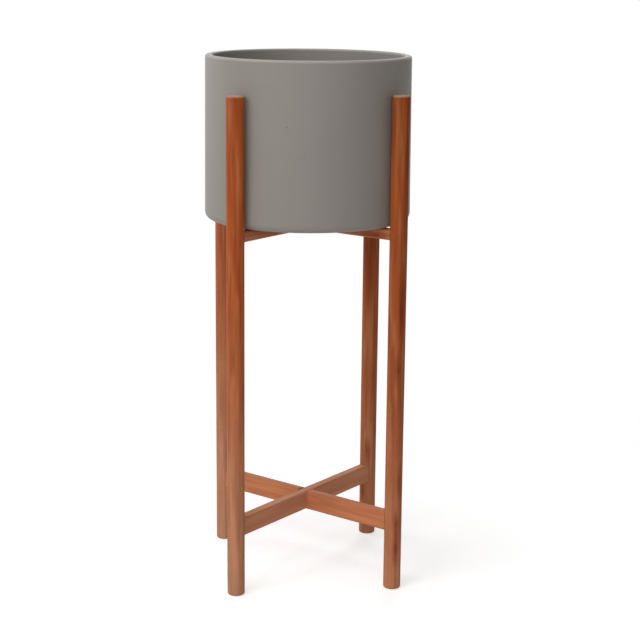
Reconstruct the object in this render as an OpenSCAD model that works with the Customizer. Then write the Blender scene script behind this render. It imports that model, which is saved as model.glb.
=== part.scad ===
// Cylindrical plant pot in a round-legged wooden stand.
// Millimetres, +Z up, the floor at z = 0 and the pot's axis on the Z axis.
// The legs stand at the corners of a square and the cross bars run along its diagonals.

/* [Overall] */
// Height from the floor to the rim of the pot
overall_height = 550; // [420:1:800]
// Diameter of the circle round the outside of the four legs
stand_diameter = 250; // [200:1:360]

/* [Legs] */
// Diameter of a round leg
leg_diameter = 18; // [16:1:28]
// How far the leg tops stay below the rim of the pot
leg_below_rim = 35; // [10:1:60]
// Bevel round the top end of a leg
leg_top_bevel = 1.2; // [0.4:0.2:3]
// Rounding of the edge under a leg
leg_foot_round = 2; // [0.5:0.5:4]

/* [Cross bars] */
// Width of every cross bar, seen from above
bar_width = 12; // [10:0.5:15]
// Height of the two bars near the floor
lower_bar_height = 20; // [14:1:40]
// Height of the two bars that carry the pot
upper_bar_height = 11; // [10:1:24]
// Clear space between the floor and the lower bars
lower_bar_clearance = 62.5; // [30:0.5:140]
// Rounding of the long edges of every bar
bar_edge_round = 2.5; // [1:0.25:3]

/* [Dowel pins] */
// Diameter of a dowel pin
dowel_diameter = 6; // [4:0.5:6.5]
// Length of a dowel pin
dowel_length = 24; // [18:1:40]
// Length of a dowel pin that sits in the leg
dowel_in_leg = 10; // [6:0.5:13]
// Bevel at both ends of a dowel pin
dowel_bevel = 0.8; // [0.2:0.1:1.2]

/* [Pot] */
// Height of the pot with its foot ring
pot_height = 169; // [100:1:260]
// How much smaller the radius is at the rim than near the bottom
pot_taper = 1; // [0:0.5:6]
// Thickness of the wall
pot_wall = 7; // [5:0.5:12]
// Thickness of the floor
pot_floor = 9; // [7:0.5:16]
// Rounding of the outer edge at the bottom
pot_edge_round = 7; // [4:0.5:14]
// Rounding of the inner corner between wall and floor
pot_corner_round = 12; // [6:1:20]
// Rounding of the outer edge of the rim
rim_outer_round = 2.5; // [1:0.25:3]
// Rounding of the inner edge of the rim
rim_inner_round = 1.5; // [0.5:0.25:2]
// Height of the foot ring under the pot
foot_ring_height = 1; // [0.5:0.5:4]
// Width of the foot ring where it meets the pot
foot_ring_width = 8; // [5:0.5:14]
// Flat margin between the rounded bottom edge and the foot ring
foot_ring_margin = 4; // [2:0.5:12]
// How far each side of the foot ring slopes in
foot_ring_draft = 0.6; // [0.2:0.1:1.5]
// Diameter of the drain hole in the middle of the floor
drain_diameter = 16; // [12:1:24]

/* [Drain stopper] */
// How far the flange of the stopper reaches past the edge of the hole
stopper_flange = 4; // [2:0.5:8]
// Thickness of the flange
flange_thickness = 3; // [2:0.5:5]
// Diameter of the grip on top
grip_diameter = 8; // [6:0.5:12]
// Height of the grip above the flange
grip_height = 5; // [4:0.5:7]
// Rounding of the top edge of the grip
grip_round = 2; // [0.5:0.25:3]
// Rubber left round the hollow of the plug
stopper_wall = 2.5; // [1.5:0.25:4]
// How far the end of the plug stays above the underside of the pot's floor
stopper_setback = 0.5; // [0.3:0.1:2]
// How much the radius of the plug narrows towards its end
stopper_taper = 0.7; // [0:0.1:1.5]

/* [Fits] */
// Space between the widest part of the pot and each leg
pot_leg_gap = 0.3; // [0.2:0.1:2]
// Space between the stopper and the wall of the drain hole
stopper_gap = 0.3; // [0.1:0.05:0.5]
// Glue line between the end of a bar and the leg
glue_gap = 0.15; // [0.05:0.05:0.5]
// Space between two bars in their halved joint
lap_gap = 0.1; // [0.05:0.05:0.3]
// Space between a dowel pin and the side of its hole
dowel_gap = 0.05; // [0.02:0.01:0.1]
// Space left at each end of a dowel pin for glue
dowel_end_gap = 0.5; // [0.2:0.1:1]

/* [Hidden] */
$fn = 96;

pot_colour = "#8d867f";
leg_colour = "#9c5a3a";
bar_colour = "#ad704f";
dowel_colour = "#d9bd92";
rubber_colour = "#2e2e2e";

// Length by which a cutter passes the face that it cuts
cut_past = 1;

// Angles at which the legs and bars lie, seen from above
back_right_angle = 45;
back_left_angle = 135;
front_left_angle = 225;
front_right_angle = 315;
leg_angles = [back_right_angle, back_left_angle, front_left_angle, front_right_angle];

leg_radius = leg_diameter / 2;
leg_circle_radius = stand_diameter / 2 - leg_radius;
leg_inner_face = leg_circle_radius - leg_radius;
leg_height = overall_height - leg_below_rim;

// The pot stands on the upper bars
seat_height = overall_height - pot_height;
lower_bar_middle = lower_bar_clearance + lower_bar_height / 2;
upper_bar_middle = seat_height - upper_bar_height / 2;

// A bar runs on inside the leg's outline, where the leg's own shape cuts it off
bar_reach = leg_circle_radius - leg_radius / 2;

dowel_radius = dowel_diameter / 2;
dowel_hole_radius = dowel_radius + dowel_gap;
dowel_outer_end = leg_inner_face + dowel_in_leg;
dowel_inner_end = dowel_outer_end - dowel_length;

pot_widest_radius = leg_inner_face - pot_leg_gap;
pot_rim_radius = pot_widest_radius - pot_taper;
pot_underside = seat_height + foot_ring_height;
pot_floor_top = pot_underside + pot_floor;
foot_ring_radius = pot_widest_radius - pot_edge_round - foot_ring_margin;
drain_radius = drain_diameter / 2;

// Centres of the circles that round the pot's outline, as [radius, height]
edge_centre = [pot_widest_radius - pot_edge_round, pot_underside + pot_edge_round];
rim_centre = [pot_rim_radius - rim_outer_round, overall_height - rim_outer_round];

// The outside of the wall is the line that touches both circles
wall_run = rim_centre - edge_centre;
wall_out_angle = atan2(wall_run.y, wall_run.x) - acos((pot_edge_round - rim_outer_round) / norm(wall_run));
wall_out = [cos(wall_out_angle), sin(wall_out_angle)];
wall_foot = edge_centre + pot_edge_round * wall_out;

// Point at a height on the inside of the wall, moved by a distance towards the outside
function inside_wall(height, outwards) =
    let (start = wall_foot + (outwards - pot_wall) * wall_out)
    [start.x - (height - start.y) * tan(wall_out_angle), height];

corner_centre = inside_wall(pot_floor_top + pot_corner_round, -pot_corner_round);
lip_centre = inside_wall(overall_height - rim_inner_round, rim_inner_round);

plug_radius = drain_radius - stopper_gap;
plug_end = pot_underside + stopper_setback;
flange_radius = drain_radius + stopper_flange;
flange_round = flange_thickness / 2;
flange_top = pot_floor_top + flange_thickness;
grip_radius = grip_diameter / 2;

module round_at(centre, radius) {
    translate(centre) circle(radius);
}

// Solid outline of the pot without its hollow, right half
module pot_outside() {
    polygon([
        [0, pot_underside], [edge_centre.x, pot_underside], edge_centre, wall_foot,
        rim_centre + rim_outer_round * wall_out, rim_centre,
        [rim_centre.x, overall_height], [0, overall_height]
    ]);
    round_at(edge_centre, pot_edge_round);
    round_at(rim_centre, rim_outer_round);
}

// Hollow of the pot, right half, which leaves the rim its rounded inner edge
module pot_hollow() {
    difference() {
        union() {
            polygon([
                [0, pot_floor_top], [corner_centre.x, pot_floor_top], corner_centre,
                corner_centre + pot_corner_round * wall_out,
                lip_centre - rim_inner_round * wall_out, lip_centre,
                [lip_centre.x, overall_height + cut_past], [0, overall_height + cut_past]
            ]);
            round_at(corner_centre, pot_corner_round);
        }
        round_at(lip_centre, rim_inner_round);
    }
}

module foot_ring() {
    polygon([
        [foot_ring_radius - foot_ring_width, pot_underside],
        [foot_ring_radius - foot_ring_width + foot_ring_draft, seat_height],
        [foot_ring_radius - foot_ring_draft, seat_height],
        [foot_ring_radius, pot_underside]
    ]);
}

module pot() {
    color(pot_colour) rotate_extrude() {
        difference() {
            pot_outside();
            pot_hollow();
            translate([0, pot_underside - cut_past]) square([drain_radius, pot_floor + 2 * cut_past]);
        }
        foot_ring();
    }
}

// Rubber stopper: a hollow plug under a round-edged flange with a grip to pull it out by
module drain_stopper() {
    hollow_radius = plug_radius - stopper_taper - stopper_wall;
    hollow_height = pot_floor_top - plug_end - stopper_wall;
    color(rubber_colour) rotate_extrude() {
        difference() {
            polygon([
                [0, plug_end], [plug_radius - stopper_taper, plug_end], [plug_radius, pot_floor_top],
                [0, pot_floor_top]
            ]);
            translate([0, plug_end - cut_past]) square([hollow_radius, hollow_height + cut_past]);
        }
        translate([0, pot_floor_top]) square([flange_radius - flange_round, flange_thickness]);
        round_at([flange_radius - flange_round, pot_floor_top + flange_round], flange_round);
        translate([0, flange_top]) {
            square([grip_radius - grip_round, grip_height]);
            square([grip_radius, grip_height - grip_round]);
            round_at([grip_radius - grip_round, grip_height - grip_round], grip_round);
        }
    }
}

// A hole for a dowel pin along +X, between two distances from the pot's axis
module dowel_hole(inner_end, outer_end) {
    translate([inner_end, 0, 0]) rotate([0, 90, 0])
        cylinder(r = dowel_hole_radius, h = outer_end - inner_end);
}

module leg_blank() {
    rotate_extrude() {
        polygon([
            [0, leg_foot_round], [leg_radius, leg_foot_round], [leg_radius, leg_height - leg_top_bevel],
            [leg_radius - leg_top_bevel, leg_height], [0, leg_height]
        ]);
        square([leg_radius - leg_foot_round, leg_foot_round]);
        round_at([leg_radius - leg_foot_round, leg_foot_round], leg_foot_round);
    }
}

module leg(angle) {
    color(leg_colour) rotate(angle) difference() {
        translate([leg_circle_radius, 0, 0]) leg_blank();
        for (height = [lower_bar_middle, upper_bar_middle])
            translate([0, 0, height])
                dowel_hole(leg_inner_face - cut_past, dowel_outer_end + dowel_end_gap);
    }
}

// Cross-section of a bar with four rounded edges
module bar_section(height) {
    square([bar_width - 2 * bar_edge_round, height], center = true);
    square([bar_width, height - 2 * bar_edge_round], center = true);
    corner = [bar_width / 2 - bar_edge_round, height / 2 - bar_edge_round];
    for (side = [-1, 1], end = [-1, 1])
        round_at([side * corner.x, end * corner.y], bar_edge_round);
}

// A bar with its ends hollowed to fit the legs, and half its height notched away in the middle.
// The notch is on the underside of the bar that passes over, and on top of the one that passes under.
module bar(angle, middle, height, passes_over) {
    notch_width = bar_width + 2 * lap_gap;
    notch_height = (height + lap_gap) / 2 + cut_past;
    notch_floor = passes_over ? lap_gap / 2 - notch_height : -lap_gap / 2;
    color(bar_colour) rotate(angle) translate([0, 0, middle]) difference() {
        rotate([90, 0, 90]) linear_extrude(2 * bar_reach, center = true) bar_section(height);
        for (turn = [0, 180]) rotate(turn) {
            translate([leg_circle_radius, 0, 0])
                cylinder(r = leg_radius + glue_gap, h = height + 2 * cut_past, center = true);
            dowel_hole(dowel_inner_end - dowel_end_gap, leg_circle_radius);
        }
        translate([-notch_width / 2, -bar_width / 2 - cut_past, notch_floor])
            cube([notch_width, bar_width + 2 * cut_past, notch_height]);
    }
}

module lower_bar(angle, passes_over) {
    bar(angle, lower_bar_middle, lower_bar_height, passes_over);
}

module upper_bar(angle, passes_over) {
    bar(angle, upper_bar_middle, upper_bar_height, passes_over);
}

module dowel_pin() {
    rotate_extrude() polygon([
        [0, 0], [dowel_radius - dowel_bevel, 0], [dowel_radius, dowel_bevel],
        [dowel_radius, dowel_length - dowel_bevel], [dowel_radius - dowel_bevel, dowel_length],
        [0, dowel_length]
    ]);
}

// The four pins that join one pair of crossed bars to the legs
module dowels(middle) {
    color(dowel_colour) for (angle = leg_angles)
        rotate(angle) translate([dowel_inner_end, 0, middle]) rotate([0, 90, 0]) dowel_pin();
}

pot();
drain_stopper();
leg(front_left_angle);  // leg_front_left
leg(front_right_angle);  // leg_front_right
leg(back_right_angle);  // leg_back_right
leg(back_left_angle);  // leg_back_left
lower_bar(front_left_angle, passes_over = true);  // lower_bar_over
lower_bar(front_right_angle, passes_over = false);  // lower_bar_under
upper_bar(front_left_angle, passes_over = true);  // upper_bar_over
upper_bar(front_right_angle, passes_over = false);  // upper_bar_under
dowels(lower_bar_middle);  // lower_dowels
dowels(upper_bar_middle);  // upper_dowels
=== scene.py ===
"""Planter with stand: finishes for the pot, its stopper and the wooden stand, and a studio round them."""
import math
from typing import NamedTuple

import bpy
from bpy.props import FloatProperty, FloatVectorProperty, PointerProperty
from mathutils import Euler, Matrix, Vector


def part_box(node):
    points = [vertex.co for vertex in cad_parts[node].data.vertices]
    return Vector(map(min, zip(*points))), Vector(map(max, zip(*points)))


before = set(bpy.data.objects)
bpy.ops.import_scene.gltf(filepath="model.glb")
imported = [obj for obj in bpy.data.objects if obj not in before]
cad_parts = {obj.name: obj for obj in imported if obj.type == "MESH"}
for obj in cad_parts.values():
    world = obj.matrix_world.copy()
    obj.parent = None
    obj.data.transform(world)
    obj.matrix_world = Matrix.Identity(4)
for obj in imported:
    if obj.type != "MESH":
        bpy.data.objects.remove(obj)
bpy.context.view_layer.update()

bl_info = {
    "name": "Planter with stand",
    "version": (1, 0, 0),
    "blender": (4, 5, 0),
    "location": "3D View > Sidebar > Planter",
    "description": "Finishes a ceramic pot and its wooden stand, and sets up a studio round them",
    "category": "Object",
}

MM = 0.001
SENSOR_WIDTH = 36       # of the camera, in mm
NODE_SPACING = 180      # between the nodes of a material, in the node editor
WHITE = (1.0, 1.0, 1.0, 1.0)

# Noise runs from 0 to 1 but hardly leaves this range, so each pattern is spread over it
NOISE_LOW, NOISE_HIGH = 0.3, 0.7

# Grain runs along a stick's own Z axis, which these turns lay along the leg or bar
UPRIGHT = Euler((0, 0, 0))
FRONT_LEFT_TO_BACK_RIGHT = Euler((0, math.radians(90), math.radians(45)))
BACK_LEFT_TO_FRONT_RIGHT = Euler((0, math.radians(90), math.radians(-45)))


class Knot(NamedTuple):
    """A knot in a stick of wood."""
    middle: tuple           # in the frame, in mm
    stretch: float          # its length as a share of the usual one


class Stick(NamedTuple):
    """The stick of wood that a leg or bar is made of."""
    turn: Euler             # how its grain lies
    heart: tuple            # where the heart of the log was, across the stick, in mm
    figure: float           # how strong its streaks are
    light: float            # how light the wood is, partly its own tone and partly painted light and shade
    low_tone_and_painted_light: float        # the same near the floor, with the same painted light and shade
    painted_floor_light: float          # how much painted light from the white floor pales it
    low_painted_floor_light: float      # the same near the floor
    knots: tuple = ()


# Every leg and bar is a stick of its own
# Their lightness settings paint light and shade as well as each stick's own tone
LEGS = {
    "leg_front_left": Stick(
        turn=UPRIGHT, heart=(31, -24), figure=1.0,
        light=1.0, low_tone_and_painted_light=1.02, painted_floor_light=0.0, low_painted_floor_light=1.0),
    "leg_front_right": Stick(
        turn=UPRIGHT, heart=(-22, -34), figure=1.0,
        light=0.8, low_tone_and_painted_light=1.12, painted_floor_light=0.0, low_painted_floor_light=0.55,
        knots=(
            Knot((85.3, -90.3, 300), 1.8),
            Knot((83.4, -90.9, 237), 1.0),
            Knot((86.4, -89.9, 119), 0.9),
            Knot((83.8, -90.8, 72), 0.7),
            Knot((83.4, -90.9, 46), 0.9))),
    "leg_back_right": Stick(
        turn=UPRIGHT, heart=(40, 12), figure=1.0,
        light=0.78, low_tone_and_painted_light=1.0, painted_floor_light=0.05, low_painted_floor_light=0.55,
        knots=(
            Knot((79.2, 73.5, 100), 0.8),
            Knot((75.1, 76.2, 50), 0.6),
            Knot((90.6, 79.3, 418), 1.0))),
    "leg_back_left": Stick(
        turn=UPRIGHT, heart=(-14, 37), figure=1.0,
        light=1.02, low_tone_and_painted_light=1.05, painted_floor_light=0.15, low_painted_floor_light=1.15,
        knots=(Knot((-84, 90.8, 296), 1.0),)),
}
LOWER_BARS = {
    "lower_bar_over": Stick(
        turn=FRONT_LEFT_TO_BACK_RIGHT, heart=(26, 33), figure=0.6,
        light=1.2, low_tone_and_painted_light=1.2, painted_floor_light=0.65, low_painted_floor_light=0.65,
        knots=(Knot((36, 44.5, 74), 1.0),)),
    "lower_bar_under": Stick(
        turn=BACK_LEFT_TO_FRONT_RIGHT, heart=(-30, 21), figure=0.6,
        light=1.26, low_tone_and_painted_light=1.26, painted_floor_light=0.33, low_painted_floor_light=0.33),
}
UPPER_BARS = {
    "upper_bar_over": Stick(
        turn=FRONT_LEFT_TO_BACK_RIGHT, heart=(-38, -16), figure=0.8,
        light=0.98, low_tone_and_painted_light=0.98, painted_floor_light=0.35, low_painted_floor_light=0.35),
    "upper_bar_under": Stick(
        turn=BACK_LEFT_TO_FRONT_RIGHT, heart=(19, -41), figure=0.8,
        light=1.12, low_tone_and_painted_light=1.12, painted_floor_light=0.35, low_painted_floor_light=0.35,
        knots=(Knot((61.5, -69.5, 374), 1.0),)),
}
DOWELS = ("lower_dowels", "upper_dowels")

# A knot's reddish stain and its dark eye: the distances from the knot's middle at which each has its full
# strength and none, in half knots and less the bend that the streaks give them, and then its strength
KNOT_STAIN = (-0.1, 0.8, 0.5)
KNOT_EYE = (-0.32, -0.1, 0.6)

# Pinholes in the glaze: the azimuth round the pot from its right-hand side, in degrees, the height in mm,
# and how open the hole is
PINHOLES = (
    (-108.5, 486.4, 1.0),
    (-99.2, 456.5, 0.4),
    (12, 512, 0.8),
    (38, 431, 0.5),
    (97, 463, 1.0),
    (141, 497, 0.6),
)


class Lamp(NamedTuple):
    """Where a square lamp hangs and how large it is, in metres.

    Its power is the stage's setting of the same name.
    """
    azimuth: float          # round the pot from its right-hand side, in degrees
    height: float
    distance: float
    aim_height: float
    width: float


LAMPS = {
    "key_lamp": Lamp(azimuth=-137, height=1.1, distance=1.55, aim_height=0.35, width=1.1),
    "front_lamp": Lamp(azimuth=-97, height=1.1, distance=1.9, aim_height=0.35, width=1.0),
    "left_back_lamp": Lamp(azimuth=140, height=0.8, distance=1.6, aim_height=0.35, width=1.0),
    "right_back_lamp": Lamp(azimuth=75, height=0.9, distance=1.7, aim_height=0.35, width=1.0),
    "top_lamp": Lamp(azimuth=-145, height=1.9, distance=0.3, aim_height=0.4, width=1.3),
}


def linear(code):
    """Linear red, green, blue and alpha of an sRGB hex colour."""
    shares = [int(code[place:place + 2], 16) / 255 for place in (1, 3, 5)]
    return tuple(s / 12.92 if s <= 0.04045 else ((s + 0.055) / 1.055) ** 2.4 for s in shares) + (1.0,)


def colour(name, description, code):
    """A colour setting whose default is an sRGB hex value."""
    return FloatVectorProperty(
        name=name, description=description, default=linear(code), subtype="COLOR", size=4, min=0, max=1)


def length(name, description, millimetres):
    """A length setting whose default is given in mm."""
    return FloatProperty(
        name=name, description=description, default=millimetres * MM, unit="LENGTH", min=0, precision=4)


def distance(name, description, metres):
    """A distance setting whose default is given in m."""
    return FloatProperty(
        name=name, description=description, default=metres, unit="LENGTH", min=0, precision=4)


def angle(name, description, degrees):
    """An angle setting whose default is given in degrees."""
    return FloatProperty(
        name=name, description=description, default=math.radians(degrees), subtype="ANGLE")


def power(name, description, watts):
    """A setting for the power of a lamp."""
    return FloatProperty(name=name, description=description, default=watts, unit="POWER", min=0)


def share(name, description, value):
    """A setting from 0 to 1."""
    return FloatProperty(name=name, description=description, default=value, subtype="FACTOR", min=0, max=1)


class PotSettings(bpy.types.PropertyGroup):
    """Finish of the pot and its stopper."""
    glaze: colour("Glaze", "Colour of the matte glaze", "#8a847e")
    bare_clay: colour("Bare clay", "Colour of the unglazed foot ring", "#b9a78f")
    rubber: colour("Rubber", "Colour of the stopper", "#2b2b2c")
    cloud_size: length("Cloud size", "Width of the faint tone patches in the glaze", 55)
    grain_size: length(
        "Grain size", "Width of the fine grain in the glaze, drawn coarser than the real one", 1.6)
    pinhole_size: length("Pinhole size", "Width of a pinhole in the glaze", 1.5)
    roughness: share("Roughness", "Roughness of the glaze", 0.62)


class WoodSettings(bpy.types.PropertyGroup):
    """Finish of the stand."""
    pale: colour("Pale wood", "Colour of the paler streaks", "#b87042")
    main: colour("Wood", "Colour of most of the wood", "#b05a2c")
    red: colour("Red wood", "Colour of the redder streaks", "#a24a24")
    knot: colour("Knot", "Colour of the small knots", "#7a2a1c")
    # Painted light: the colour that light bounced from the white floor pales the wood towards
    floor_lit_wood: colour("Dry wood", "Colour near the floor, where the oil is thinnest", "#c08968")
    end_grain: colour("End grain", "Colour of the sawn leg ends", "#bd9c88")
    beech: colour("Dowel wood", "Colour of the dowel pins", "#d9bd92")
    ring_spacing: length("Ring spacing", "Distance between growth rings", 2.6)
    streak_width: length("Streak width", "Width of a colour streak", 5.5)
    streak_length: length("Streak length", "Length of a colour streak", 75)
    fibre_width: length("Fibre width", "Width of a bundle of fibres, drawn coarser than the real one", 0.9)
    fibre_length: length("Fibre length", "Length of a bundle of fibres", 40)
    pore_width: length("Pore width", "Width of a pore, drawn coarser than the real one", 0.5)
    pore_length: length("Pore length", "Length of a pore", 6)
    knot_width: length("Knot width", "Width of a knot and its stain, across the grain", 9)
    knot_length: length("Knot length", "Length of a knot and its stain, along the grain", 52)
    # Painted light and shade by height change towards the floor below this height
    painted_light_height: length(
        "Oiled height", "Height above which the oil has kept its full depth of colour", 330)
    # Above this height the legs are made darker towards their tops
    darker_above_height: length(
        "Soaked height", "Height above which the oil has soaked in from the sawn leg tops", 420)
    roughness: share("Roughness", "Roughness of the oiled surface", 0.55)


class StageSettings(bpy.types.PropertyGroup):
    """Camera, lamps and floor."""
    camera_distance: distance("Camera distance", "Distance from the pot's axis", 1.6236)
    camera_height: distance("Camera height", "Height above the floor", 0.6492)
    camera_azimuth: angle(
        "Camera azimuth", "Where the camera stands: 0 is the front, 90 the right-hand side", -7.173)
    camera_pan: angle("Pan", "Turn to the right, away from the pot's axis", 0.493)
    camera_tilt: angle("Tilt", "Angle below the horizon", 12.376)
    camera_roll: angle("Roll", "Turn about the line of sight", 0.544)
    camera_lens: FloatProperty(
        name="Focal length", description=f"Focal length on a sensor {SENSOR_WIDTH} mm wide",
        default=88.26, unit="CAMERA")
    camera_shift: FloatProperty(
        name="Shift", description="Vertical shift of the lens as a share of the picture", default=-0.032)
    key_lamp: power("Key lamp", "Power of the large lamp in front on the left", 11.4)
    front_lamp: power("Front lamp", "Power of the lamp beside the camera", 7.5)
    left_back_lamp: power("Left back lamp", "Power of the lamp behind on the left", 7.2)
    right_back_lamp: power("Right back lamp", "Power of the lamp behind on the right", 8.0)
    top_lamp: power("Top lamp", "Power of the lamp overhead", 9.0)
    sky: share("Sky", "Strength of the soft light from the surroundings", 0.12)
    floor: colour("Floor", "Colour of the floor", "#f0f0f0")
    floor_white: share(
        "White floor", "Plain white that the floor shows on top of the light that falls on it", 0.48)


def add(tree, kind, inputs=None, output=None, **settings):
    """Adds a node with its settings, fills its inputs with values or links, and returns an output socket."""
    made = tree.nodes.new(kind)
    made.location.x = NODE_SPACING * len(tree.nodes)
    for name, value in settings.items():
        setattr(made, name, value)
    for name, value in (inputs or {}).items():
        socket = next(s for s in made.inputs if s.enabled and name in (s.identifier, s.name))
        if isinstance(value, bpy.types.NodeSocket):
            tree.links.new(value, socket)
        else:
            socket.default_value = value
    return next((s for s in made.outputs if s.enabled and output in (None, s.name)), None)


def new_material(name):
    """An empty node material and its tree."""
    material = bpy.data.materials.new(name)
    material.use_nodes = True
    material.node_tree.nodes.clear()
    return material, material.node_tree


def finish(node, material):
    """Gives a CAD node one material all over."""
    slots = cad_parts[node].material_slots
    for slot in slots:
        slot.material = material
    if not slots:
        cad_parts[node].data.materials.append(material)


def middle_of(node):
    """Middle of a CAD node's box."""
    low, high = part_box(node)
    return (low + high) / 2


def pinholes(tree, place, pot):
    """0 on whole glaze, and a pinhole's openness in its middle."""
    inset = 0.6 * MM        # of the leaning wall, where most pinholes are, from the pot's widest place
    wall_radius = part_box("pot")[1].x - inset
    open_radius, whole_radius = 0.3 * pot.pinhole_size, 0.8 * pot.pinhole_size
    holes = []
    for azimuth, height, openness in PINHOLES:
        turn = math.radians(azimuth)
        middle = Vector((wall_radius * math.cos(turn), wall_radius * math.sin(turn), height * MM))
        away = add(tree, "ShaderNodeVectorMath", {
            "Vector": place, "Vector_001": middle}, "Value", operation="DISTANCE")
        holes.append(add(tree, "ShaderNodeMapRange", {
            "Value": away, "From Min": open_radius, "From Max": whole_radius,
            "To Min": openness, "To Max": 0.0}, interpolation_type="SMOOTHSTEP"))
    pit = holes[0]
    for hole in holes[1:]:
        pit = add(tree, "ShaderNodeMath", {"Value": pit, "Value_001": hole}, operation="MAXIMUM")
    return pit


def matte_glazed_stoneware(pot):
    """Slip-cast stoneware under a matte glaze.

    The glaze gives a soft chalky fall-off with a broad dull sheen, faint clouds where it lies thicker, fine
    grain, a few pinholes darkened with painted shade, and a paler edge at the rim, partly thinner glaze and
    partly a painted highlight. The foot ring is wiped bare before firing.
    """
    low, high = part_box("pot")
    material, tree = new_material("matte_glazed_stoneware")
    place = add(tree, "ShaderNodeTexCoord", output="Object")
    height = add(tree, "ShaderNodeSeparateXYZ", {"Vector": place}, "Z")
    cloud = add(tree, "ShaderNodeTexNoise", {
        "Vector": place, "Scale": 1 / pot.cloud_size, "Detail": 3.0, "Roughness": 0.5}, "Fac")
    grain = add(tree, "ShaderNodeTexNoise", {
        "Vector": place, "Scale": 1 / pot.grain_size, "Detail": 2.0, "Roughness": 0.6}, "Fac")
    cloud_tone = add(tree, "ShaderNodeMapRange", {
        "Value": cloud, "From Min": NOISE_LOW, "From Max": NOISE_HIGH, "To Min": 0.965, "To Max": 1.035})
    grain_tone = add(tree, "ShaderNodeMapRange", {
        "Value": grain, "From Min": NOISE_LOW, "From Max": NOISE_HIGH, "To Min": 0.98, "To Max": 1.02})

    # Paler over the rounded rim: partly thin glaze that lets the pale body show, partly a painted highlight
    paler_from, palest_from = high.z - 3.0 * MM, high.z - 0.5 * MM
    rim_glaze_and_highlight = add(tree, "ShaderNodeMapRange", {
        "Value": height, "From Min": paler_from, "From Max": palest_from, "To Min": 1.0, "To Max": 1.4},
        interpolation_type="SMOOTHSTEP")

    pit = pinholes(tree, place, pot)
    # Painted shade: each pinhole is darkened for the shade inside the hole
    pinhole_shade = add(tree, "ShaderNodeMapRange", {"Value": pit, "To Min": 1.0, "To Max": 0.62})
    tone = cloud_tone
    for further_tone in (grain_tone, rim_glaze_and_highlight, pinhole_shade):
        tone = add(tree, "ShaderNodeMath", {"Value": tone, "Value_001": further_tone}, operation="MULTIPLY")
    glaze = add(tree, "ShaderNodeVectorMath", {
        "Vector": tuple(pot.glaze[:3]), "Scale": tone}, operation="SCALE")

    # The glaze is wiped off the foot ring up to the edge of the pot's bottom
    bare_to, glazed_from = low.z + 0.6 * MM, low.z + 1.2 * MM
    on_ring = add(tree, "ShaderNodeMapRange", {
        "Value": height, "From Min": bare_to, "From Max": glazed_from, "To Min": 1.0, "To Max": 0.0})
    clay = add(tree, "ShaderNodeVectorMath", {
        "Vector": tuple(pot.bare_clay[:3]), "Scale": grain_tone}, operation="SCALE")
    body = add(tree, "ShaderNodeMix", {"Factor": on_ring, "A": glaze, "B": clay}, data_type="RGBA")

    dullness = add(tree, "ShaderNodeMapRange", {
        "Value": cloud, "From Min": NOISE_LOW, "From Max": NOISE_HIGH,
        "To Min": pot.roughness - 0.04, "To Max": pot.roughness + 0.06})
    pinhole_depth = 6.0     # as a multiple of the grain's height
    relief = add(tree, "ShaderNodeMath", {
        "Value": pit, "Value_001": -pinhole_depth, "Value_002": grain}, operation="MULTIPLY_ADD")
    normal = add(tree, "ShaderNodeBump", {"Height": relief, "Strength": 0.25, "Distance": 0.1 * MM})
    shader = add(tree, "ShaderNodeBsdfPrincipled", {
        "Base Color": body, "Roughness": dullness, "Normal": normal, "IOR": 1.5})
    add(tree, "ShaderNodeOutputMaterial", {"Surface": shader})
    return material


def moulded_rubber(pot):
    """Black rubber, pressed in a blasted mould: an even dull black with fine dust-like grain."""
    grain_size = 0.7 * MM       # drawn coarser than the real one
    material, tree = new_material("moulded_rubber")
    place = add(tree, "ShaderNodeTexCoord", output="Object")
    grain = add(tree, "ShaderNodeTexNoise", {
        "Vector": place, "Scale": 1 / grain_size, "Detail": 2.0, "Roughness": 0.6}, "Fac")
    tone = add(tree, "ShaderNodeMapRange", {
        "Value": grain, "From Min": NOISE_LOW, "From Max": NOISE_HIGH, "To Min": 0.8, "To Max": 1.3})
    rubber = add(tree, "ShaderNodeVectorMath", {
        "Vector": tuple(pot.rubber[:3]), "Scale": tone}, operation="SCALE")
    dullness = add(tree, "ShaderNodeMapRange", {
        "Value": grain, "From Min": NOISE_LOW, "From Max": NOISE_HIGH, "To Min": 0.55, "To Max": 0.75})
    normal = add(tree, "ShaderNodeBump", {"Height": grain, "Strength": 0.5, "Distance": 0.05 * MM})
    shader = add(tree, "ShaderNodeBsdfPrincipled", {
        "Base Color": rubber, "Roughness": dullness, "Normal": normal, "IOR": 1.52})
    add(tree, "ShaderNodeOutputMaterial", {"Surface": shader})
    return material


class Grain(NamedTuple):
    """The patterns in a stick's wood, as the sockets that give them."""
    paleness: bpy.types.NodeSocket      # high in the pale streaks
    redness: bpy.types.NodeSocket       # high in the red streaks
    depth: bpy.types.NodeSocket         # high in the light streaks, low in the deep ones
    fibre: bpy.types.NodeSocket
    pore: bpy.types.NodeSocket          # 1 in a pore
    ring: bpy.types.NodeSocket          # 1 in the middle of each growth ring


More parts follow.
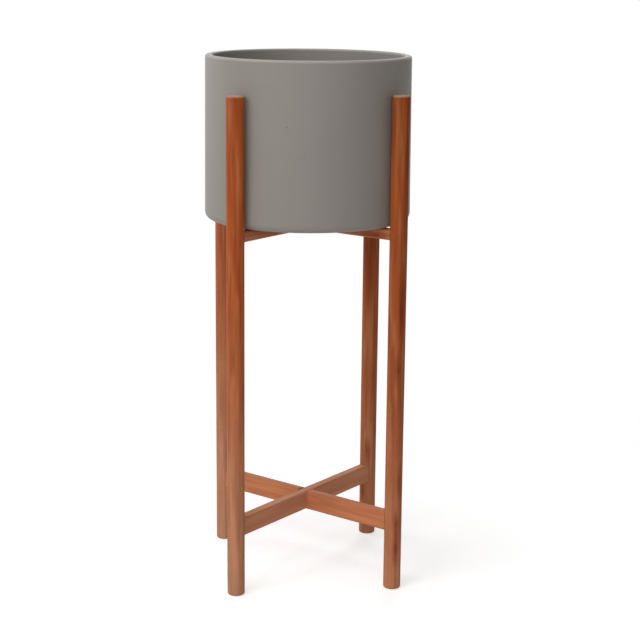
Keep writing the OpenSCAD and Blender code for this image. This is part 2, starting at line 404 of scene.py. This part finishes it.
def streaked_grain(tree, place, wood, heart):
    """Streaks, fibres, pores and growth rings, for a stick whose grain runs along Z."""
    # Each pattern is drawn in its own squeezed copy of the stick, so that it has its named width and length.
    # The heart moves it too, so that no two sticks are alike.
    squeezed = {
        pattern: add(tree, "ShaderNodeMapping", {
            "Vector": place, "Location": (seed, seed, 0), "Scale": (1 / width, 1 / width, 1 / reach)},
            vector_type="POINT")
        for pattern, seed, width, reach in (
            ("streak", heart[0], wood.streak_width, wood.streak_length),
            ("fibre", heart[1], wood.fibre_width, wood.fibre_length),
            ("pore", heart[0] + heart[1], wood.pore_width, wood.pore_length))}
    streaks = add(tree, "ShaderNodeTexNoise", {
        "Vector": squeezed["streak"], "Scale": 1.0, "Detail": 1.0, "Roughness": 0.4}, "Color")
    paleness, redness, depth = (
        add(tree, "ShaderNodeSeparateColor", {"Color": streaks}, part) for part in ("Red", "Green", "Blue"))
    fibre = add(tree, "ShaderNodeTexNoise", {
        "Vector": squeezed["fibre"], "Scale": 1.0, "Detail": 2.0, "Roughness": 0.5}, "Fac")
    pores = add(tree, "ShaderNodeTexNoise", {
        "Vector": squeezed["pore"], "Scale": 1.0, "Detail": 0.0}, "Fac")
    pore_edge, pore_middle = 0.66, 0.78     # of the noise, which rarely runs so high
    pore = add(tree, "ShaderNodeMapRange", {"Value": pores, "From Min": pore_edge, "From Max": pore_middle})

    # Growth rings round the heart of the log, which wander as the streaks do
    wander = 4.0 * MM       # of a ring from its circle, at most
    strayed = add(tree, "ShaderNodeVectorMath", {
        "Vector": streaks, "Vector_001": (wander, wander, wander), "Vector_002": place},
        "Vector", operation="MULTIPLY_ADD")
    from_heart = add(tree, "ShaderNodeVectorMath", {
        "Vector": strayed, "Vector_001": (-heart[0] * MM, -heart[1] * MM, 0)}, "Vector", operation="ADD")
    across = add(tree, "ShaderNodeVectorMath", {
        "Vector": from_heart, "Vector_001": (1, 1, 0)}, "Vector", operation="MULTIPLY")
    radius = add(tree, "ShaderNodeVectorMath", {"Vector": across}, "Value", operation="LENGTH")
    phase = add(tree, "ShaderNodeMath", {
        "Value": radius, "Value_001": 2 * math.pi / wood.ring_spacing}, operation="MULTIPLY")
    wave = add(tree, "ShaderNodeMath", {"Value": phase}, operation="SINE")
    ring = add(tree, "ShaderNodeMapRange", {"Value": wave, "From Min": -1.0})
    return Grain(paleness, redness, depth, fibre, pore, ring)


def streaked_colour(tree, grain, wood, figure):
    """Tan to red, in broad soft streaks along the stick."""
    body = tuple(wood.main)
    starts_from = 0.45
    # Each kind of streak: its pattern, where that has it in full, how strong it is there, and its colour
    streaks = (
        (grain.paleness, 0.68, 0.8, wood.pale),
        (grain.redness, 0.66, 0.9, wood.red))
    for pattern, full_from, strength, tint in streaks:
        shown = add(tree, "ShaderNodeMapRange", {
            "Value": pattern, "From Min": starts_from, "From Max": full_from, "To Max": strength * figure},
            interpolation_type="SMOOTHSTEP")
        body = add(tree, "ShaderNodeMix", {"Factor": shown, "A": body, "B": tuple(tint)}, data_type="RGBA")
    return body


def painted_floor_light_colour(tree, body, height, wood, stick):
    """The colour made paler and more even towards the floor, with painted light bounced from the white
    floor.
    """
    quickening = 1.5        # above 1, so that the painted floor light grows faster nearer the floor
    evenness = 0.4          # how far the streaks fade in the fullest painted floor light
    lowness = add(tree, "ShaderNodeMapRange", {
        "Value": height, "From Min": 0.0, "From Max": wood.painted_light_height, "To Min": 1.0, "To Max": 0.0})
    floor_lit_share = add(tree, "ShaderNodeMath", {"Value": lowness, "Value_001": quickening}, operation="POWER")
    floor_lit_share = add(tree, "ShaderNodeMapRange", {
        "Value": floor_lit_share, "To Min": stick.painted_floor_light, "To Max": stick.low_painted_floor_light})
    paling = Vector(wood.floor_lit_wood[:3]) - Vector(wood.main[:3])
    paler = add(tree, "ShaderNodeVectorMath", {"Vector": paling, "Scale": floor_lit_share}, operation="SCALE")
    body = add(tree, "ShaderNodeVectorMath", {"Vector": body, "Vector_001": paler}, operation="ADD")
    evened = add(tree, "ShaderNodeMath", {"Value": floor_lit_share, "Value_001": evenness}, operation="MULTIPLY")
    return add(tree, "ShaderNodeMix", {"Factor": evened, "A": body, "B": tuple(wood.floor_lit_wood)}, data_type="RGBA")


def knotted_colour(tree, body, coordinates, redness, wood, stick):
    """The colour with a small dark eye in a longer reddish stain for each knot, bent by the streaks."""
    bend = 0.8              # by the streaks, at most, in half knots
    for knot in stick.knots:
        from_knot = add(tree, "ShaderNodeMapping", {
            "Vector": coordinates, "Location": Vector(knot.middle) * MM, "Rotation": stick.turn,
            "Scale": (wood.knot_width / 2, wood.knot_width / 2, knot.stretch * wood.knot_length / 2)},
            vector_type="TEXTURE")
        away = add(tree, "ShaderNodeVectorMath", {"Vector": from_knot}, "Value", operation="LENGTH")
        away = add(tree, "ShaderNodeMath", {
            "Value": redness, "Value_001": -bend, "Value_002": away}, operation="MULTIPLY_ADD")
        for full_at, nothing_at, strength in (KNOT_STAIN, KNOT_EYE):
            stained = add(tree, "ShaderNodeMapRange", {
                "Value": away, "From Min": full_at, "From Max": nothing_at,
                "To Min": strength, "To Max": 0.0}, interpolation_type="SMOOTHSTEP")
            body = add(tree, "ShaderNodeMix", {
                "Factor": stained, "A": body, "B": tuple(wood.knot)}, data_type="RGBA")
    return body


def toned_colour(tree, body, height, grain, wood, stick):
    """The colour toned by height, with painted light and shade, and by the patterns in the grain."""
    # Darker towards the leg tops
    soaked = add(tree, "ShaderNodeMapRange", {
        "Value": height, "From Min": wood.darker_above_height, "From Max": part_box("leg_front_left")[1].z})
    streak_contrast = 0.11 * stick.figure
    # Each pattern, its range, and how light the wood is at either end of the range
    tones = (
        # The height row paints light and shade on each stick, partly also its own tone
        (height, 0.0, wood.painted_light_height, stick.low_tone_and_painted_light, stick.light),
        (grain.depth, NOISE_LOW, NOISE_HIGH, 1 - streak_contrast, 1 + streak_contrast),
        (grain.fibre, NOISE_LOW, NOISE_HIGH, 1.04, 0.96),
        (grain.ring, 0.0, 1.0, 1.03, 0.97),
        (grain.pore, 0.0, 1.0, 1.0, 0.85),
        (soaked, 0.0, 1.0, 1.0, 0.82))
    for pattern, least, most, tone_at_least, tone_at_most in tones:
        tone = add(tree, "ShaderNodeMapRange", {
            "Value": pattern, "From Min": least, "From Max": most,
            "To Min": tone_at_least, "To Max": tone_at_most})
        body = add(tree, "ShaderNodeVectorMath", {"Vector": body, "Scale": tone}, operation="SCALE")
    return body


def sawn_share(tree, turn):
    """1 on sawn faces, which face along the grain, and 0 on planed or turned ones."""
    planed_below, sawn_above = 0.55, 0.9        # cosines of a face's angle from the grain
    along = turn.to_matrix() @ Vector((0, 0, 1))
    facing = add(tree, "ShaderNodeTexCoord", output="Normal")
    facing_along = add(tree, "ShaderNodeVectorMath", {
        "Vector": facing, "Vector_001": along}, "Value", operation="DOT_PRODUCT")
    facing_along = add(tree, "ShaderNodeMath", {"Value": facing_along}, operation="ABSOLUTE")
    return add(tree, "ShaderNodeMapRange", {
        "Value": facing_along, "From Min": planed_below, "From Max": sawn_above})


def oiled_hardwood(node, wood, stick):
    """Red-brown hardwood, planed or turned, sanded and oiled, for one leg or bar.

    The wood itself runs from tan to red in broad soft streaks along the piece, with faint growth rings, fine
    fibres and short pores in them. The oil leaves a low satin sheen. Towards the floor the colour is painted
    paler and more even, with light bounced from the white floor. The sawn ends drink the oil and stay pale.
    """
    material, tree = new_material(f"oiled_hardwood_{node}")
    coordinates = add(tree, "ShaderNodeTexCoord", output="Object")
    height = add(tree, "ShaderNodeSeparateXYZ", {"Vector": coordinates}, "Z")
    place = add(tree, "ShaderNodeMapping", {
        "Vector": coordinates, "Location": middle_of(node), "Rotation": stick.turn}, vector_type="TEXTURE")
    grain = streaked_grain(tree, place, wood, stick.heart)
    body = streaked_colour(tree, grain, wood, stick.figure)
    body = painted_floor_light_colour(tree, body, height, wood, stick)
    body = knotted_colour(tree, body, coordinates, grain.redness, wood, stick)
    body = toned_colour(tree, body, height, grain, wood, stick)

    # Sawn faces are pale on the open leg tops and brown in the glued joints
    sawn = sawn_share(tree, stick.turn)
    end_tone = add(tree, "ShaderNodeMapRange", {"Value": grain.ring, "To Min": 1.05, "To Max": 0.86})
    end_colour = wood.end_grain if stick.turn == UPRIGHT else wood.main
    end = add(tree, "ShaderNodeVectorMath", {
        "Vector": tuple(end_colour[:3]), "Scale": end_tone}, operation="SCALE")
    body = add(tree, "ShaderNodeMix", {"Factor": sawn, "A": body, "B": end}, data_type="RGBA")

    dullness = add(tree, "ShaderNodeMapRange", {
        "Value": grain.fibre, "From Min": NOISE_LOW, "From Max": NOISE_HIGH,
        "To Min": wood.roughness - 0.05, "To Max": wood.roughness + 0.06})
    sawn_dullness = 0.22
    dullness = add(tree, "ShaderNodeMath", {
        "Value": sawn, "Value_001": sawn_dullness, "Value_002": dullness}, operation="MULTIPLY_ADD")
    relief = add(tree, "ShaderNodeMath", {
        "Value": grain.pore, "Value_001": -1.0, "Value_002": grain.fibre}, operation="MULTIPLY_ADD")
    normal = add(tree, "ShaderNodeBump", {"Height": relief, "Strength": 0.4, "Distance": 0.08 * MM})
    shader = add(tree, "ShaderNodeBsdfPrincipled", {
        "Base Color": body, "Roughness": dullness, "Normal": normal, "IOR": 1.5, "Specular IOR Level": 0.06})
    add(tree, "ShaderNodeOutputMaterial", {"Surface": shader})
    return material


def finish_sticks(sticks, wood):
    """Gives each leg or bar its own stick of oiled wood."""
    for node, stick in sticks.items():
        finish(node, oiled_hardwood(node, wood, stick))


def turned_beech(wood):
    """Pale beech dowel rod, turned and left unoiled: short brown flecks on a cream ground."""
    fleck_size = 0.8 * MM
    plain_below, fleck_above = 0.5, 0.7     # of the noise
    material, tree = new_material("turned_beech")
    place = add(tree, "ShaderNodeTexCoord", output="Object")
    fleck = add(tree, "ShaderNodeTexNoise", {
        "Vector": place, "Scale": 1 / fleck_size, "Detail": 1.0, "Roughness": 0.5}, "Fac")
    tone = add(tree, "ShaderNodeMapRange", {
        "Value": fleck, "From Min": plain_below, "From Max": fleck_above, "To Min": 1.0, "To Max": 0.75})
    body = add(tree, "ShaderNodeVectorMath", {
        "Vector": tuple(wood.beech[:3]), "Scale": tone}, operation="SCALE")
    normal = add(tree, "ShaderNodeBump", {"Height": fleck, "Strength": 0.4, "Distance": 0.05 * MM})
    shader = add(tree, "ShaderNodeBsdfPrincipled", {
        "Base Color": body, "Roughness": 0.7, "Normal": normal, "IOR": 1.5})
    add(tree, "ShaderNodeOutputMaterial", {"Surface": shader})
    return material


def seen_directly(tree):
    """1 for the rays that look at the surroundings: straight from the camera, reflected or through glass."""
    kinds = [add(tree, "ShaderNodeLightPath", output=name) for name in (
        "Is Camera Ray", "Is Glossy Ray", "Is Transmission Ray")]
    seen = kinds[0]
    for kind in kinds[1:]:
        seen = add(tree, "ShaderNodeMath", {"Value": seen, "Value_001": kind}, operation="MAXIMUM")
    return seen


def painted_floor(stage):
    """Studio floor in matte white paint.

    The viewer sees it white where the lamps reach it and grey in the planter's shadow, and it goes over into
    the white surroundings away from the planter.
    """
    speckle_size = 3 * MM
    fades_from, faded_from = 0.3, 1.0       # in m from the pot's axis
    material, tree = new_material("painted_floor")
    place = add(tree, "ShaderNodeTexCoord", output="Object")
    speckle = add(tree, "ShaderNodeTexNoise", {
        "Vector": place, "Scale": 1 / speckle_size, "Detail": 2.0}, "Fac")
    tone = add(tree, "ShaderNodeMapRange", {
        "Value": speckle, "From Min": NOISE_LOW, "From Max": NOISE_HIGH, "To Min": 0.99, "To Max": 1.01})
    paint = add(tree, "ShaderNodeVectorMath", {
        "Vector": tuple(stage.floor[:3]), "Scale": tone}, operation="SCALE")
    lit = add(tree, "ShaderNodeBsdfDiffuse", {"Color": paint})
    seen = seen_directly(tree)
    glow = add(tree, "ShaderNodeMath", {"Value": seen, "Value_001": stage.floor_white}, operation="MULTIPLY")
    glow = add(tree, "ShaderNodeEmission", {"Color": WHITE, "Strength": glow})
    painted = add(tree, "ShaderNodeAddShader", {"Shader": lit, "Shader_001": glow})

    away = add(tree, "ShaderNodeVectorMath", {"Vector": place}, "Value", operation="LENGTH")
    faded = add(tree, "ShaderNodeMapRange", {
        "Value": away, "From Min": fades_from, "From Max": faded_from}, interpolation_type="SMOOTHSTEP")
    faded = add(tree, "ShaderNodeMath", {"Value": seen, "Value_001": faded}, operation="MULTIPLY")
    white = add(tree, "ShaderNodeEmission", {"Color": WHITE, "Strength": 1.0})
    both = add(tree, "ShaderNodeMixShader", {"Fac": faded, "Shader": painted, "Shader_001": white})
    add(tree, "ShaderNodeOutputMaterial", {"Surface": both})
    return material


def build_floor(stage, scene):
    """A large round floor under the feet."""
    radius, corners = 9.0, 64
    turns = [2 * math.pi * corner / corners for corner in range(corners)]
    mesh = bpy.data.meshes.new("floor")
    mesh.from_pydata([(radius * math.cos(t), radius * math.sin(t), 0) for t in turns], [], [range(corners)])
    mesh.materials.append(painted_floor(stage))
    floor = bpy.data.objects.new("floor", mesh)
    scene.collection.objects.link(floor)


def light_sky(stage, scene):
    """White surroundings that fill the shadows softly."""
    sky = bpy.data.worlds.new("white_studio")
    sky.use_nodes = True
    tree = sky.node_tree
    tree.nodes.clear()
    soft = add(tree, "ShaderNodeBackground", {"Color": WHITE, "Strength": stage.sky})
    white = add(tree, "ShaderNodeBackground", {"Color": WHITE, "Strength": 1.0})
    both = add(tree, "ShaderNodeMixShader", {
        "Fac": seen_directly(tree), "Shader": soft, "Shader_001": white})
    add(tree, "ShaderNodeOutputWorld", {"Surface": both})
    scene.world = sky


def hang_lamp(name, lamp, watts, scene):
    """A square lamp with a soft cloth front, turned towards the planter."""
    light = bpy.data.lights.new(name, "AREA")
    light.size = lamp.width
    light.energy = watts
    hung = bpy.data.objects.new(name, light)
    azimuth = math.radians(lamp.azimuth)
    hung.location = (lamp.distance * math.cos(azimuth), lamp.distance * math.sin(azimuth), lamp.height)
    hung.rotation_mode = "QUATERNION"
    hung.rotation_quaternion = (Vector((0, 0, lamp.aim_height)) - hung.location).to_track_quat("-Z", "Y")
    scene.collection.objects.link(hung)


def place_camera(stage, scene):
    """A camera at the photograph's viewing angle."""
    data = bpy.data.cameras.new("camera")
    data.sensor_width = SENSOR_WIDTH
    data.lens = stage.camera_lens
    data.shift_y = stage.camera_shift
    camera = bpy.data.objects.new("camera", data)

    azimuth, tilt, roll = stage.camera_azimuth, stage.camera_tilt, stage.camera_roll
    heading = azimuth - stage.camera_pan
    forward = Vector((
        -math.sin(heading) * math.cos(tilt), math.cos(heading) * math.cos(tilt), -math.sin(tilt)))
    level = Vector((math.cos(heading), math.sin(heading), 0))
    upright = level.cross(forward)
    right = level * math.cos(roll) + upright * math.sin(roll)
    up = upright * math.cos(roll) - level * math.sin(roll)
    turned = Matrix((right, up, -forward)).transposed().to_4x4()
    reach = stage.camera_distance
    place = Vector((reach * math.sin(azimuth), -reach * math.cos(azimuth), stage.camera_height))
    camera.matrix_world = Matrix.Translation(place) @ turned
    scene.collection.objects.link(camera)
    scene.camera = camera


class PLANTER_OT_finish_pot(bpy.types.Operator):
    """Give the pot its matte glaze and bare foot ring"""
    bl_idname = "planter.finish_pot"
    bl_label = "Finish Pot"

    def execute(self, context):
        finish("pot", matte_glazed_stoneware(context.scene.planter_pot))
        return {"FINISHED"}


class PLANTER_OT_finish_stopper(bpy.types.Operator):
    """Give the drain stopper its rubber"""
    bl_idname = "planter.finish_stopper"
    bl_label = "Finish Stopper"

    def execute(self, context):
        finish("drain_stopper", moulded_rubber(context.scene.planter_pot))
        return {"FINISHED"}


class PLANTER_OT_finish_legs(bpy.types.Operator):
    """Give each leg its own stick of oiled wood"""
    bl_idname = "planter.finish_legs"
    bl_label = "Finish Legs"

    def execute(self, context):
        finish_sticks(LEGS, context.scene.planter_wood)
        return {"FINISHED"}


class PLANTER_OT_finish_lower_bars(bpy.types.Operator):
    """Give each lower cross bar its own stick of oiled wood"""
    bl_idname = "planter.finish_lower_bars"
    bl_label = "Finish Lower Bars"

    def execute(self, context):
        finish_sticks(LOWER_BARS, context.scene.planter_wood)
        return {"FINISHED"}


class PLANTER_OT_finish_upper_bars(bpy.types.Operator):
    """Give each upper cross bar its own stick of oiled wood"""
    bl_idname = "planter.finish_upper_bars"
    bl_label = "Finish Upper Bars"

    def execute(self, context):
        finish_sticks(UPPER_BARS, context.scene.planter_wood)
        return {"FINISHED"}


class PLANTER_OT_finish_dowels(bpy.types.Operator):
    """Give the dowel pins their beech"""
    bl_idname = "planter.finish_dowels"
    bl_label = "Finish Dowels"

    def execute(self, context):
        beech = turned_beech(context.scene.planter_wood)
        for node in DOWELS:
            finish(node, beech)
        return {"FINISHED"}


class PLANTER_OT_set_stage(bpy.types.Operator):
    """Set up the floor, the lamps, the white surroundings and the camera"""
    bl_idname = "planter.set_stage"
    bl_label = "Set Stage"

    def execute(self, context):
        scene, stage = context.scene, context.scene.planter_stage
        place_camera(stage, scene)
        build_floor(stage, scene)
        light_sky(stage, scene)
        for name, lamp in LAMPS.items():
            hang_lamp(name, lamp, getattr(stage, name), scene)
        scene.view_settings.view_transform = "Standard"
        return {"FINISHED"}


OPERATORS = (
    PLANTER_OT_finish_pot,
    PLANTER_OT_finish_stopper,
    PLANTER_OT_finish_legs,
    PLANTER_OT_finish_lower_bars,
    PLANTER_OT_finish_upper_bars,
    PLANTER_OT_finish_dowels,
    PLANTER_OT_set_stage,
)


class PLANTER_PT_sidebar(bpy.types.Panel):
    """Lists the planter's settings and the steps that dress it"""
    bl_idname = "PLANTER_PT_sidebar"
    bl_label = "Planter With Stand"
    bl_space_type = "VIEW_3D"
    bl_region_type = "UI"
    bl_category = "Planter"

    def draw(self, context):
        scene = context.scene
        for settings in (scene.planter_pot, scene.planter_wood, scene.planter_stage):
            box = self.layout.box()
            for name in settings.bl_rna.properties.keys():
                if name not in ("rna_type", "name"):
                    box.prop(settings, name)
        for operator in OPERATORS:
            self.layout.operator(operator.bl_idname)


CLASSES = (PotSettings, WoodSettings, StageSettings, *OPERATORS, PLANTER_PT_sidebar)


def register():
    """Makes the settings, operators and panel known to Blender."""
    for cls in CLASSES:
        bpy.utils.register_class(cls)
    bpy.types.Scene.planter_pot = PointerProperty(type=PotSettings)
    bpy.types.Scene.planter_wood = PointerProperty(type=WoodSettings)
    bpy.types.Scene.planter_stage = PointerProperty(type=StageSettings)


def unregister():
    """Takes them away again."""
    del bpy.types.Scene.planter_stage
    del bpy.types.Scene.planter_wood
    del bpy.types.Scene.planter_pot
    for cls in reversed(CLASSES):
        bpy.utils.unregister_class(cls)


def main():
    """Dresses the planter and sets the stage."""
    register()
    bpy.ops.planter.finish_pot()
    bpy.ops.planter.finish_stopper()
    bpy.ops.planter.finish_legs()
    bpy.ops.planter.finish_lower_bars()
    bpy.ops.planter.finish_upper_bars()
    bpy.ops.planter.finish_dowels()
    bpy.ops.planter.set_stage()
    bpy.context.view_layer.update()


if __name__ == "__main__":
    main()
